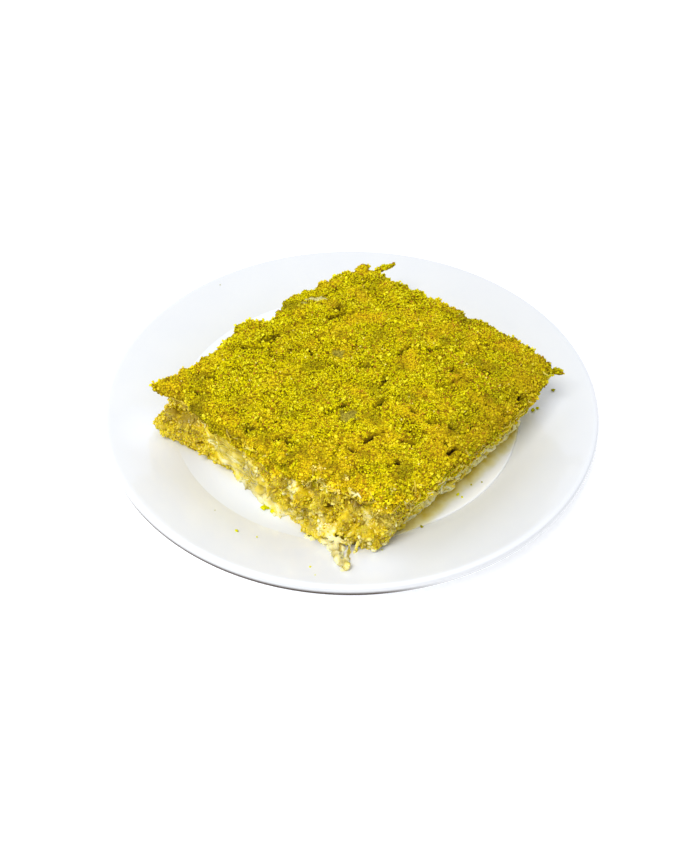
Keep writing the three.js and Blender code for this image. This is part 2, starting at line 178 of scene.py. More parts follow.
# Loose crumbs on the plate and the milk, as (x, y, size) in millimetres
STRAY_CRUMBS = [
    (-34.4, -60.5, 1.3), (-28.2, -62.5, 0.6), (-11.7, -75.4, 0.9), (22.0, -55.4, 1.3), (71.5, 1.7, 1.5),
    (63.8, -5.3, 2.2), (65.2, -5.0, 1.4), (34.4, -42.4, 1.7), (35.6, -43.4, 1.1), (39.0, -38.1, 1.0),
    (42.6, -37.0, 0.8), (-52.6, 61.1, 0.6), (9.3, -67.0, 0.7), (-26.2, -47.6, 4.2), (-27.6, -48.4, 2.2),
    (-24.6, -49.4, 2.4), (-22.4, -50.2, 2.8), (-10.1, -79.0, 0.5), (-42.2, -51.4, 0.5),
    (-2.0, -71.0, 0.9),
]

# Soft pale lumps of pastry that have slid off the front corner, as (x, y, size) in millimetres
SLID_LUMPS = [
    (-13.4, -60.0, 2.2), (-11.4, -61.0, 2.6), (-8.8, -61.8, 2.8), (-6.6, -63.2, 4.2), (-4.2, -64.4, 4.6),
    (-5.0, -66.4, 5.0), (-3.2, -66.2, 4.2), (-4.6, -68.4, 4.0), (-3.2, -69.4, 3.0), (-4.0, -70.8, 3.3),
    (-2.8, -72.2, 2.7), (-3.2, -73.4, 2.5), (-2.4, -74.8, 2.4), (-1.8, -76.2, 2.4), (-2.4, -76.8, 1.7),
]


# Small helpers

def link_object(name, mesh):
    made = bpy.data.objects.new(name, mesh)
    bpy.context.scene.collection.objects.link(made)
    return made


def mesh_from(name, vertices, faces):
    mesh = bpy.data.meshes.new(name)
    mesh.from_pydata([tuple(v) for v in vertices], [], faces)
    mesh.update()
    return mesh


def coordinates(mesh):
    flat = np.empty(len(mesh.vertices) * 3)
    mesh.vertices.foreach_get("co", flat)
    return flat.reshape(-1, 3)


def set_coordinates(mesh, points):
    mesh.vertices.foreach_set("co", points.ravel())
    mesh.update()


def normals(mesh):
    flat = np.empty(len(mesh.vertices) * 3)
    mesh.vertex_normals.foreach_get("vector", flat)
    return flat.reshape(-1, 3)


def store(mesh, name, values):
    """Keeps one value for each of the mesh's points as its attribute."""
    made = mesh.attributes.new(name, "FLOAT", "POINT")
    made.data.foreach_set("value", np.asarray(values, dtype=np.float32))


def smooth_step(low, high, x):
    t = np.clip((np.asarray(x, dtype=float) - low) / (high - low), 0.0, 1.0)
    return t * t * (3 - 2 * t)


def lumps(points, size, seed=0.0):
    """Smooth noise from about -1 to 1 at each point, with lumps of the given size in millimetres."""
    scale = 1 / (size * MM)
    offset = Vector((seed * 17.3, seed * 5.1, seed * 9.7))
    return np.array([noise.noise(Vector(p) * scale + offset) for p in points]) * 1.6


def ridges(points, size, seed=0.0):
    """Noise from about -1 to 1 with sharp crests, like torn and folded shreds."""
    return 1 - 2.6 * np.abs(lumps(points, size, seed)) / 1.6


def cad_copy(node, balls=()):
    """A merged copy of the node's mesh, joined by balls that are each given as (x, y, z, radius)."""
    joined = bmesh.new()
    joined.from_mesh(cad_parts[node].data)
    bmesh.ops.remove_doubles(joined, verts=joined.verts, dist=0.005 * MM)
    for x, y, z, radius in balls:
        place = Matrix.Translation(Vector((x, y, z)) * MM)
        bmesh.ops.create_icosphere(joined, subdivisions=3, radius=radius * MM, matrix=place)
    mesh = bpy.data.meshes.new(node)
    joined.to_mesh(mesh)
    joined.free()
    return mesh


def with_modifiers(mesh, *modifiers):
    """The mesh as it comes out of the modifiers, each given as (type, {setting: value})."""
    holder = link_object("holder", mesh)
    for kind, settings in modifiers:
        modifier = holder.modifiers.new(kind, kind)
        for key, value in settings.items():
            setattr(modifier, key, value)
    made = bpy.data.meshes.new_from_object(holder.evaluated_get(bpy.context.evaluated_depsgraph_get()))
    bpy.data.objects.remove(holder)
    return made


def finished(name, mesh, material, node_slot, *nodes, facets=False):
    """Makes a piece of the object from a mesh: its material, smooth or in facets, riding on the body."""
    piece = link_object(name, mesh)
    mesh.materials.clear()
    mesh.materials.append(material)
    if facets:
        mesh.shade_flat()
    else:
        mesh.shade_smooth()
    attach(piece, "root")
    if nodes:
        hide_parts(*nodes)


# Node trees

def add_node(tree, kind, inputs=None, **settings):
    """Adds a node, sets its settings, and gives each input a value or links it to another node's socket."""
    made = tree.nodes.new(kind)
    for key, value in settings.items():
        setattr(made, key, value)
    for key, value in (inputs or {}).items():
        if isinstance(value, bpy.types.NodeSocket):
            tree.links.new(value, made.inputs[key])
        else:
            made.inputs[key].default_value = value
    return made


def geometry_tree(name, sizes):
    """A tree with a geometry in and out and the named float inputs. Gives it and its two end nodes."""
    tree = bpy.data.node_groups.new(name, "GeometryNodeTree")
    tree.interface.new_socket("Geometry", in_out="INPUT", socket_type="NodeSocketGeometry")
    tree.interface.new_socket("Geometry", in_out="OUTPUT", socket_type="NodeSocketGeometry")
    for size in sizes:
        tree.interface.new_socket(size, in_out="INPUT", socket_type="NodeSocketFloat")
    tree.interface.new_socket("Seed", in_out="INPUT", socket_type="NodeSocketInt")
    tree.interface.new_socket("Material", in_out="INPUT", socket_type="NodeSocketMaterial")
    return tree, tree.nodes.new("NodeGroupInput"), tree.nodes.new("NodeGroupOutput")


def grown_from(source, tree, inputs):
    """The plain mesh that a tree makes from a mesh or a curve."""
    holder = link_object("grower", source)
    modifier = holder.modifiers.new("grow", "NODES")
    modifier.node_group = tree
    for socket in tree.interface.items_tree:
        if socket.in_out == "INPUT" and socket.name in inputs:
            modifier[socket.identifier] = inputs[socket.name]
    made = bpy.data.meshes.new_from_object(holder.evaluated_get(bpy.context.evaluated_depsgraph_get()))
    bpy.data.objects.remove(holder)
    return made


def random_number(tree, seed, low, high):
    """A random number for each element, from low to high, which are numbers or sockets."""
    return add_node(tree, "FunctionNodeRandomValue", {2: low, 3: high, 8: seed}).outputs[1]


def random_vector(tree, seed, low, high):
    made = add_node(tree, "FunctionNodeRandomValue", {0: low, 1: high, 8: seed}, data_type="FLOAT_VECTOR")
    return made.outputs[0]


def times(tree, vector, factor):
    """The vector made longer or shorter by a factor."""
    made = add_node(tree, "ShaderNodeVectorMath", {0: vector, "Scale": factor}, operation="SCALE")
    return made.outputs[0]


def scatter_tree(name, body, body_size):
    """Bits strewn over a surface, as dense as its cover attribute says, in a few rugged shapes.
    body is the node for the shape that the bits are bent from, and body_size holds its inputs."""
    sizes = ["Density", "Smallest", "Largest", "Sink", "Rise", "Slimness", "Flatness", "Ruggedness"]
    tree, start, end = geometry_tree(name, sizes)
    given = start.outputs
    seed = given["Seed"]
    shapes = add_node(tree, "GeometryNodeJoinGeometry")
    for variant in range(BIT_SHAPES):
        whole = add_node(tree, body, body_size)
        bumps = add_node(
            tree, "ShaderNodeTexNoise", {"W": 3.7 * variant, "Scale": 1.3}, noise_dimensions="4D"
        )
        centred = add_node(tree, "ShaderNodeVectorMath", {0: bumps.outputs["Color"], 1: (-0.5, -0.5, -0.5)})
        shift = times(tree, centred.outputs[0], given["Ruggedness"])
        moved = add_node(
            tree, "GeometryNodeSetPosition", {"Geometry": whole.outputs["Mesh"], "Offset": shift}
        )
        shape = add_node(tree, "GeometryNodeGeometryToInstance", {"Geometry": moved.outputs[0]})
        tree.links.new(shape.outputs[0], shapes.inputs[0])

    cover = add_node(tree, "GeometryNodeInputNamedAttribute", {"Name": "cover"}, data_type="FLOAT")
    density = maths(tree, "MULTIPLY", cover.outputs["Attribute"], given["Density"])
    points = add_node(
        tree,
        "GeometryNodeDistributePointsOnFaces",
        {"Mesh": given["Geometry"], "Density": density, "Seed": seed},
    )
    depth = random_number(tree, seed, given["Sink"], given["Rise"])
    lift = times(tree, points.outputs["Normal"], depth)
    lifted = add_node(
        tree, "GeometryNodeSetPosition", {"Geometry": points.outputs["Points"], "Offset": lift}
    )
    pick = add_node(tree, "FunctionNodeRandomValue", {4: 0, 5: BIT_SHAPES - 1, 8: seed}, data_type="INT")
    spin = random_vector(tree, seed, (-0.35, -0.35, 0), (0.35, 0.35, math.tau))
    turn = add_node(
        tree,
        "FunctionNodeRotateRotation",
        {"Rotation": points.outputs["Rotation"], "Rotate By": spin},
        rotation_space="LOCAL",
    )
    size = random_number(tree, seed, given["Smallest"], given["Largest"])
    girth = random_vector(tree, seed, (0.6, 0.6, 0.6), (1.0, 1.0, 1.0))
    proportions = {"X": 1.0, "Y": given["Slimness"], "Z": given["Flatness"]}
    squashed = add_node(tree, "ShaderNodeCombineXYZ", proportions)
    uneven = add_node(
        tree, "ShaderNodeVectorMath", {0: girth, 1: squashed.outputs[0]}, operation="MULTIPLY"
    )
    scale = times(tree, uneven.outputs[0], size)
    strewn = add_node(
        tree,
        "GeometryNodeInstanceOnPoints",
        {
            "Points": lifted.outputs[0],
            "Instance": shapes.outputs[0],
            "Pick Instance": True,
            "Instance Index": pick.outputs[2],
            "Rotation": turn.outputs[0],
            "Scale": scale,
        },
    )
    ended(tree, toned(tree, strewn.outputs[0], seed, "INSTANCE"), given, end)
    return tree


def toned(tree, geometry, seed, domain):
    """Gives each bit or strand a tone of its own from 0 to 1, for its material."""
    tone = random_number(tree, seed, 0.0, 1.0)
    return add_node(
        tree,
        "GeometryNodeStoreNamedAttribute",
        {"Geometry": geometry, "Name": "tone", "Value": tone},
        data_type="FLOAT",
        domain=domain,
    ).outputs[0]


def ended(tree, geometry, given, end):
    """Closes a tree: real geometry with its material."""
    realized = add_node(tree, "GeometryNodeRealizeInstances", {"Geometry": geometry})
    coloured = add_node(
        tree, "GeometryNodeSetMaterial", {"Geometry": realized.outputs[0], "Material": given["Material"]}
    )
    tree.links.new(coloured.outputs[0], end.inputs[0])


def strand_tree():
    """Thin tubes along curves, each with a tone of its own."""
    tree, start, end = geometry_tree("pastry_strands", ["Radius"])
    given = start.outputs
    curves = toned(tree, given["Geometry"], given["Seed"], "CURVE")
    round_section = {"Resolution": TUBE_SIDES, "Radius": given["Radius"]}
    section = add_node(tree, "GeometryNodeCurvePrimitiveCircle", round_section)
    girth = add_node(tree, "GeometryNodeInputRadius")
    tube = add_node(
        tree,
        "GeometryNodeCurveToMesh",
        {
            "Curve": curves,
            "Profile Curve": section.outputs["Curve"],
            "Scale": girth.outputs[0],
            "Fill Caps": True,
        },
    )
    ended(tree, tube.outputs[0], given, end)
    return tree


# Materials

def new_material(name, **sockets):
    """A material with one Principled shader. Gives the material, its tree and the shader."""
    material = bpy.data.materials.new(name)
    material.use_nodes = True
    shader = material.node_tree.nodes["Principled BSDF"]
    for key, value in sockets.items():
        shader.inputs[key.replace("_", " ")].default_value = value
    return material, material.node_tree, shader


def noise_at(tree, size, detail):
    """Noise whose lumps are about size millimetres across."""
    place = add_node(tree, "ShaderNodeTexCoord").outputs["Object"]
    settings = {"Vector": place, "Scale": 1 / (size * MM), "Detail": detail}
    return add_node(tree, "ShaderNodeTexNoise", settings)


def ramp(tree, factor, stops):
    """A colour ramp with stops of (position, (r, g, b)) in linear colour."""
    made = add_node(tree, "ShaderNodeValToRGB", {"Fac": factor})
    elements = made.color_ramp.elements
    for index, (position, colour) in enumerate(stops):
        element = elements[index] if index < 2 else elements.new(position)
        element.position = position
        element.color = (*colour, 1)
    return made


def attribute(tree, name):
    return add_node(tree, "ShaderNodeAttribute", attribute_name=name).outputs["Fac"]


def blend_colours(tree, factor, first, second):
    made = add_node(tree, "ShaderNodeMix", data_type="RGBA")
    for socket, value in ((0, factor), (6, first), (7, second)):
        if isinstance(value, bpy.types.NodeSocket):
            tree.links.new(value, made.inputs[socket])
        else:
            made.inputs[socket].default_value = value if socket == 0 else (*value, 1)
    return made.outputs[2]


def maths(tree, operation, first, second, clamp=False):
    """Two numbers or sockets joined by an operation."""
    made = add_node(tree, "ShaderNodeMath", {0: first, 1: second}, operation=operation, use_clamp=clamp)
    return made.outputs[0]


def scaled(tree, value, factor, shift, clamp=False):
    """value times factor plus shift, where factor may be a socket."""
    made = add_node(tree, "ShaderNodeMath", {0: value, 1: factor, 2: shift}, operation="MULTIPLY_ADD")
    made.use_clamp = clamp
    return made.outputs[0]


def between(tree, factor, low, high):
    """A number from low to high as the factor goes from 0 to 1."""
    return add_node(tree, "ShaderNodeMapRange", {"Value": factor, "To Min": low, "To Max": high}).outputs[0]


def add_bumps(tree, shader, height, strength, depth, invert=False):
    """Fine bumps on the surface, with their depth in millimetres."""
    settings = {"Height": height, "Strength": strength, "Distance": depth * MM}
    bump = add_node(tree, "ShaderNodeBump", settings, invert=invert)
    tree.links.new(bump.outputs[0], shader.inputs["Normal"])


def crumb_material(name, stops, gold_amount, roughness=0.9, gloss=0.02):
    """Ground pistachio: each crumb has a tone from the stops, warmer where the surface is stained gold."""
    material, tree, shader = new_material(name, Roughness=roughness, Specular_IOR_Level=gloss)
    grain = noise_at(tree, 0.45, 3)
    patch = noise_at(tree, 7, 2)
    tone = maths(tree, "ADD", attribute(tree, "tone"), scaled(tree, grain.outputs["Fac"], 0.5, -0.25))
    tone = maths(tree, "ADD", tone, scaled(tree, patch.outputs["Fac"], 0.8, -0.4), clamp=True)
    base = ramp(tree, tone, stops)
    gold = maths(tree, "MULTIPLY", attribute(tree, "gold"), gold_amount, clamp=True)
    warm = blend_colours(tree, gold, base.outputs["Color"], GOLD)
    # The dark attribute gives olive patches and painted shade
    colour = blend_colours(tree, attribute(tree, "dark"), warm, OLIVE_AND_SHADE)
    tree.links.new(colour, shader.inputs["Base Color"])
    return material


def packed_material(name, stops, grain_size):
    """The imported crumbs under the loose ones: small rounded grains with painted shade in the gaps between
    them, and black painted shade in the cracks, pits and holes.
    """
    material, tree, shader = new_material(name, Roughness=0.9, Specular_IOR_Level=0.02)
    place = add_node(tree, "ShaderNodeTexCoord").outputs["Object"]
    grain = add_node(tree, "ShaderNodeTexVoronoi", {"Vector": place, "Scale": 1 / (grain_size * MM)})
    own = add_node(tree, "ShaderNodeSeparateColor", {"Color": grain.outputs["Color"]}).outputs[0]
    patch = noise_at(tree, 7, 2)
    tone = maths(tree, "ADD", own, scaled(tree, patch.outputs["Fac"], 0.8, -0.4), clamp=True)
    base = ramp(tree, tone, stops)
    gold = maths(tree, "MULTIPLY", attribute(tree, "gold"), 0.4, clamp=True)
    warm = blend_colours(tree, gold, base.outputs["Color"], GOLD)
    # The dark attribute gives olive patches and painted shade
    dark = blend_colours(tree, attribute(tree, "dark"), warm, OLIVE_AND_SHADE)
    thin = attribute(tree, "thin")
    bare = ramp(tree, thin, THIN)
    wet = blend_colours(tree, maths(tree, "MULTIPLY", thin, 2.0, clamp=True), dark, bare.outputs["Color"])
    # Painted shade in the gaps between grains, and black painted shade where the crack attribute is set
    gap_shade = add_node(
        tree,
        "ShaderNodeMapRange",
        {"Value": grain.outputs["Distance"], "From Min": 0.35, "From Max": 0.8, "To Max": 0.6},
    )
    shaded = maths(tree, "MAXIMUM", gap_shade.outputs[0], attribute(tree, "crack"), clamp=True)
    colour = blend_colours(tree, shaded, wet, GAP_SHADE)
    tree.links.new(colour, shader.inputs["Base Color"])
    add_bumps(tree, shader, grain.outputs["Distance"], 0.7, 0.2, invert=True)
    return material


def pastry_material(name, stops):
    """Wet shredded pastry, half see-through. Its pale attribute runs from 0, stained gold, to 1, cream."""
    material, tree, shader = new_material(
        name,
        Subsurface_Weight=0.4,
        Subsurface_Scale=1.2 * MM,
        Specular_IOR_Level=0.22,
        Coat_Weight=0.1,
        Coat_Roughness=0.1,
    )
    shader.inputs["Subsurface Radius"].default_value = (1.0, 0.8, 0.25)
    streak = noise_at(tree, 2.2, 3)
    speck = noise_at(tree, 0.7, 2)
    tone = scaled(tree, attribute(tree, "tone"), 0.7, -0.35)
    tone = maths(tree, "ADD", tone, scaled(tree, streak.outputs["Fac"], 0.9, -0.45))
    tone = maths(tree, "ADD", tone, attribute(tree, "pale"), clamp=True)
    base = ramp(tree, tone, stops)
    # The dark attribute gives olive patches and painted shade
    shaded = blend_colours(tree, attribute(tree, "dark"), base.outputs["Color"], WET_OLIVE_AND_SHADE)
    # Painted shade in the pastry's hollows and holes
    colour = blend_colours(tree, attribute(tree, "pit_shade"), shaded, PIT_SHADE)
    tree.links.new(colour, shader.inputs["Base Color"])
    tree.links.new(between(tree, speck.outputs["Fac"], 0.2, 0.55), shader.inputs["Roughness"])
    add_bumps(tree, shader, speck.outputs["Fac"], 0.5, 0.2)
    return material


def porcelain():
    """White glaze, a little uneven, with the faintest smears of milk on the rim. The rim attribute paints
    shade, with less shine, and the near attribute paints light near the slab.
    """
    material, tree, shader = new_material("white_porcelain", Coat_Roughness=0.06)
    # Painted shade from the rim attribute, which also takes away the shine
    shine = scaled(tree, attribute(tree, "rim"), -0.5, 0.5)
    tree.links.new(shine, shader.inputs["Specular IOR Level"])
    tree.links.new(shine, shader.inputs["Coat Weight"])
    smear = noise_at(tree, 14, 4)
    tint = ramp(tree, smear.outputs["Fac"], [(0.35, PORCELAIN), (0.62, PORCELAIN_SMEAR)])
    # Painted light: paler, bluer glaze near the slab, against its shade and yellow bounce light
    glaze = blend_colours(tree, attribute(tree, "near"), tint.outputs["Color"], PORCELAIN_PAINTED_LIGHT)
    # Painted shade on the rim, towards the back and towards the right
    colour = blend_colours(tree, attribute(tree, "rim"), glaze, RIM_SHADE)
    tree.links.new(colour, shader.inputs["Base Color"])
    tree.links.new(between(tree, smear.outputs["Fac"], 0.13, 0.24), shader.inputs["Roughness"])
    ripple = noise_at(tree, 9, 1)
    add_bumps(tree, shader, ripple.outputs["Fac"], 0.12, 0.1)
    return material


def milk():
    """Thin sweet milk, tinted yellow by the pistachio where it meets the slab, with painted light on the
    right where the tint is faint.
    """
    material, tree, shader = new_material("sweet_milk", Roughness=0.12, Specular_IOR_Level=0.4)
    cloud = noise_at(tree, 4, 3)
    tint = attribute(tree, "tint")
    uneven = maths(tree, "MULTIPLY", tint, scaled(tree, cloud.outputs["Fac"], 1.2, -0.6))
    near = maths(tree, "ADD", tint, uneven, clamp=True)
    stained = ramp(tree, near, MILK).outputs["Color"]
    clean = maths(tree, "SUBTRACT", 1.0, scaled(tree, near, 3.0, 0.0, clamp=True))
    # Painted light: paler milk on the right where the tint is faint
    lit = maths(tree, "MULTIPLY", attribute(tree, "right"), clean)
    colour = blend_colours(tree, lit, stained, LIT_MILK)
    tree.links.new(colour, shader.inputs["Base Color"])
    return material


def floor_material():
    """A white background that is lit a little from behind, so that shadows on it stay pale."""
    material, tree, shader = new_material(
        "pale_floor",
        Roughness=0.9,
        Specular_IOR_Level=0.1,
        Emission_Color=(1, 1, 1, 1),
        Emission_Strength=FLOOR_GLOW,
    )
    speck = noise_at(tree, 60, 2)
    tint = ramp(tree, speck.outputs["Fac"], [(0.3, (0.88, 0.88, 0.88)), (0.7, (0.90, 0.90, 0.90))])
    tree.links.new(tint.outputs["Color"], shader.inputs["Base Color"])
    return material


# Plate and milk

def turned(name, outline, turns):
    """A closed solid turned from an outline of (radius, height) that starts and ends on the axis.
    The outline goes outwards along the top and back along the underside."""
    angles = np.arange(turns) * math.tau / turns
    rings = [(r, z) for r, z in outline if r > 0]
    vertices = [(r * math.cos(a) * MM, r * math.sin(a) * MM, z * MM) for r, z in rings for a in angles]
    faces = []
    for ring in range(len(rings) - 1):
        for k in range(turns):
            nxt = (k + 1) % turns
            low = ring * turns
            faces.append((low + k, low + turns + k, low + turns + nxt, low + nxt))
    top = len(vertices)
    vertices.append((0, 0, outline[0][1] * MM))
    vertices.append((0, 0, outline[-1][1] * MM))
    last = (len(rings) - 1) * turns
    for k in range(turns):
        nxt = (k + 1) % turns
        faces.append((top, k, nxt))
        faces.append((top + 1, last + nxt, last + k))
    return mesh_from(name, vertices, faces)


def rounded(outline):
    """Cuts the outline's corners once, keeping its ends."""
    made = [outline[0]]
    for (r0, z0), (r1, z1) in zip(outline, outline[1:]):
        made.append((r0 * 0.75 + r1 * 0.25, z0 * 0.75 + z1 * 0.25))
        made.append((r0 * 0.25 + r1 * 0.75, z0 * 0.25 + z1 * 0.75))
    return made + [outline[-1]]


def make_plate():
    """The rim's outer face has a little painted shade, and a painted shadow line below it at the front left.
    The plate has painted shade towards the back and the right, and painted light near the slab."""
    mesh = turned("plate_body", rounded(rounded(PLATE_UPPER + PLATE_UNDER[::-1])), PLATE_TURNS)
    points = coordinates(mesh) / MM
    radius = np.hypot(points[:, 0], points[:, 1])
    height = points[:, 2]
    # Painted shade on the rim's outer face, a painted shadow line under it, and towards the back and right
    face = 0.2 * smooth_step(83.7, 84.3, radius) * (1 - smooth_step(18.4, 19.0, height))
    from_front_left = np.abs(np.degrees(np.arctan2(points[:, 1], points[:, 0])) - RIM_SHADOW_ANGLE)
    line = smooth_step(82.6, 83.4, radius) * (1 - smooth_step(17.0, 18.5, height))
    line *= 0.2 + 0.8 * (1 - smooth_step(*RIM_SHADOW_SPAN, from_front_left))
    far = 0.05 * smooth_step(-20, 50, points[:, 1]) + 0.05 * smooth_step(0, 60, points[:, 0])
    store(mesh, "rim", np.maximum(np.maximum(face, line), far))
    # Where the glaze gets painted light near the slab
    store(mesh, "near", 1 - smooth_step(3, 17, distance_to_lines(points * MM, FOOT_LINES)))
    finished("plate_body", mesh, porcelain(), "white_porcelain", "plate")


def plate_height(radius):
    return np.interp(radius, [r for r, z in PLATE_UPPER], [z for r, z in PLATE_UPPER])


def distance_to_lines(points, lines):
    """Millimetres in plan from each point to the nearest of the lines, each given as (x, y, x, y)."""
    nearest = np.full(len(points), 1e9)
    place = points[:, :2] / MM
    for line in lines:
        start = np.array(line[:2])
        run = np.array(line[2:4]) - start
        share = np.clip(((place - start) @ run) / (run @ run), 0, 1)
        nearest = np.minimum(nearest, np.linalg.norm(place - start - share[:, None] * run, axis=1))
    return nearest


def make_milk():
    """The milk's flat top curves up where it wets the plate: steeply on the right, gently elsewhere.
    Its edge and its underside lie just below the plate's surface, so that no edge shows."""
    rings = np.linspace(0, 1, 60)
    flat = [(MILK_REACH * t, MILK_LEVEL) for t in rings]
    under = [(r, plate_height(r)) for r in np.linspace(MILK_REACH, 0, 14)]
    mesh = turned("milk_pool", flat + under[1:], PLATE_TURNS)
    points = coordinates(mesh) / MM
    on_right = smooth_step(5, 22, points[:, 0])
    radius = np.hypot(points[:, 0], points[:, 1])
    share = radius / MILK_REACH
    reach = MILK_EDGE + (MILK_FILM_EDGE - MILK_EDGE) * (1 - on_right)
    start = MILK_EDGE - 2 - (MILK_EDGE - 2 - MILK_FILM_START) * (1 - on_right)
    new_radius = share * reach
    climb = np.clip((new_radius - start) / (reach - start), 0, 1)
    on_top = points[:, 2] > MILK_LEVEL - 0.001
    lifted = MILK_LEVEL + (plate_height(reach) - MILK_LEVEL) * climb**2 - MILK_DIP * climb**4
    height = np.where(on_top, lifted, plate_height(new_radius) - MILK_SINK)
    points[:, :2] *= (new_radius / np.maximum(radius, 1e-6))[:, None]
    points[:, 2] = height
    set_coordinates(mesh, points * MM)
    away = distance_to_lines(points * MM, FOOT_LINES)
    stain = 3.0 + 5.5 * on_right
    store(mesh, "tint", (0.15 + 0.85 * on_right) * (1 - smooth_step(0.1 * stain, stain, away)))
    # Where the milk gets painted light
    store(mesh, "right", on_right)
    finished("milk_pool", mesh, milk(), "sweet_milk", "milk_syrup")


# Where things are on the slab

def sides_of(points):
    """Millimetres outside each side's line, in columns: front left, front right, back right, back left."""
    corners = [LEFT, FRONT, RIGHT, BACK]
    columns = []
    for a, b in zip(corners, corners[1:] + corners[:1]):
        along = (b - a) / np.linalg.norm(b - a)
        outward = np.array([along[1], -along[0]])
        columns.append((points[:, :2] / MM - a) @ outward)
    return np.stack(columns, axis=1)


def zones(points):
    """Shares from 0 to 1 for the lobe at the left corner, the crumbled front corner and the right side."""
    sides = sides_of(points)
    run = FRONT - LEFT
    along = (points[:, :2] / MM - LEFT) @ run / (run @ run) + 0.01 * (points[:, 2] / MM - 18)
    under_top = 1 - smooth_step(31.5, 34.5, points[:, 2] / MM)
    front_left = smooth_step(-4 - 9 * under_top, -1 - 5 * under_top, sides[:, 0])
    lobe = front_left * (1 - smooth_step(0.26, 0.31, along))
    crumbled = front_left * smooth_step(0.44, 0.62, along)
    right = under_top * smooth_step(-10, -4, sides[:, 1]) * (sides[:, 0] < sides[:, 1])
    return lobe, crumbled, right


def fallen(points):
    """1 on the tongue of pastry that has slid out in front of the slab, 0 on the slab."""
    off_tongue = distance_to_lines(points, [TONGUE])
    low = 1 - smooth_step(17, 20, points[:, 2] / MM)
    return (1 - smooth_step(2.6, 4.6, off_tongue)) * low


def fallen_low(points):
    """1 near the plate and clear of the front corner's lumps, 0 elsewhere."""
    return (1 - smooth_step(16, 18, points[:, 2] / MM)) * smooth_step(66.8, 67.8, -points[:, 1] / MM)


def left_edge(points):
    """1 on the shaded wall under the topping's left edge, 0 elsewhere."""
    x, y, z = points.T / MM
    beyond = smooth_step(-0.8, 0.6, np.interp(x, LEFT_EDGE_X, LEFT_EDGE_Y) - y)
    ledge = np.interp(x, LEFT_EDGE_X, LEFT_SHADE_END)
    below_top = 1 - 0.6 * smooth_step(34, 35, z)
    return beyond * (1 - smooth_step(-36, -30, x)) * smooth_step(ledge - 0.8, ledge + 0.8, z) * below_top


def soft_side(points):
    """1 on the soft translucent pastry without crumbs between the lobe and the crumbled corner."""
    lobe, crumbled, _ = zones(points)
    sides = sides_of(points)
    front_left = smooth_step(-13, -6, sides[:, 0]) * (points[:, 0] / MM < 0)
    top = np.interp(points[:, 0] / MM, SOFT_TOP_X, SOFT_TOP_Z)
    below_top = 1 - smooth_step(top - 1.5, top + 0.5, points[:, 2] / MM)
    return front_left * (1 - lobe) * (1 - crumbled) * below_top


def near_spots(points, spots, ragged):
    """1 in the spots, each given as (x, y, z, radius) in millimetres, and 0 outside them."""
    inside = np.zeros(len(points))
    jitter = ragged * lumps(points, 1.4, 51)
    for x, y, z, radius in spots:
        away = np.linalg.norm(points / MM - (x, y, z), axis=1) / radius + jitter
        inside = np.maximum(inside, 1 - smooth_step(0.75, 1.15, away))
    return inside


def cream(points):
    """1 on the cream-coloured clumps of the crumbled corner."""
    crumbled = zones(points)[1]
    scattered = smooth_step(0.62, 0.85, lumps(points, 2.6, 21) + 0.4 * lumps(points, 1.2, 22)) * crumbled
    return np.maximum(near_spots(points, PALE_CLUMPS, 0.35), scattered)


def pallor(points):
    """How pale the pastry is, from 0 where it is stained gold to 1 where it is cream."""
    lobe, crumbled, right = zones(points)
    clumps = lumps(points, 4.2, 23) + 0.7 * lumps(points, 1.9, 24)
    height = smooth_step(12, 28, points[:, 2] / MM)
    pale = 0.84 - 0.34 * height - 0.55 * lobe - 0.4 * crumbled - 0.08 * right
    pale += (0.16 + 0.16 * crumbled) * clumps
    soft = soft_side(points)
    near_crumbled = smooth_step(-40, -32, points[:, 0] / MM)
    pale += soft * (0.94 - 0.32 * height - 0.12 * near_crumbled + 0.2 * clumps - pale)
    return np.clip(np.maximum(pale, np.maximum(fallen(points), 0.8 * cream(points))), 0, 1)


def shade(points):
    """How dark the food is made, from 0 to 1: painted shade high on the right side and under the left corner,
    darker along the top's right edge, towards the right and in streaks on the soft side, and in patches.
    """
    _, crumbled, right = zones(points)
    x, _, z = points.T / MM
    patches = np.clip(lumps(points, 8, 35) - 0.35, 0, 1) + 0.5 * np.clip(lumps(points, 3.5, 36) - 0.5, 0, 1)
    # Painted shade high on the right side
    upper_right = right * smooth_step(25, 28, z) * smooth_step(20, 34, x)
    blotches = crumbled * np.clip(0.9 * lumps(points, 3.4, 37), 0, 0.6)
    soft = np.clip(0.22 + 0.17 * smooth_step(-40, -32, x) + 0.3 * lumps(points, 2.4, 39), 0, 0.6)
    soft *= soft_side(points) * smooth_step(11.5, 14, z)
    # Darker along the top's right edge
    right_edge = smooth_step(-15, -4, sides_of(points)[:, 1]) * smooth_step(15, 38, x)
    right_edge *= smooth_step(31, 34, z)
    patches_and_rightward = 0.75 * patches * (1 - right) + 0.1 * smooth_step(10, 45, x) + 0.2 * right_edge
    # left_edge paints shade on the wall under the topping's left corner
    return np.clip(0.3 * upper_right + 0.42 * left_edge(points) + patches_and_rightward + blotches + soft, 0, 0.8)


def gold_stain(points):
    """How warm the ground pistachio is, from 0 to 1: in cloudy patches, most of all by the front corner."""
    lobe, crumbled, _ = zones(points)
    sides = sides_of(points)
    band = smooth_step(-30, -6, np.maximum(sides[:, 0] - 8, sides[:, 1]))
    spread = 0.5 + 0.45 * smooth_step(-35, 15, points[:, 0] / MM)
    clumps = 0.05 + spread * lumps(points, 7.5, 3) + crumbled * lumps(points, 3.0, 13)
    return np.clip(clumps + 0.35 * band + 0.35 * crumbled + 0.3 * lobe, 0, 1)


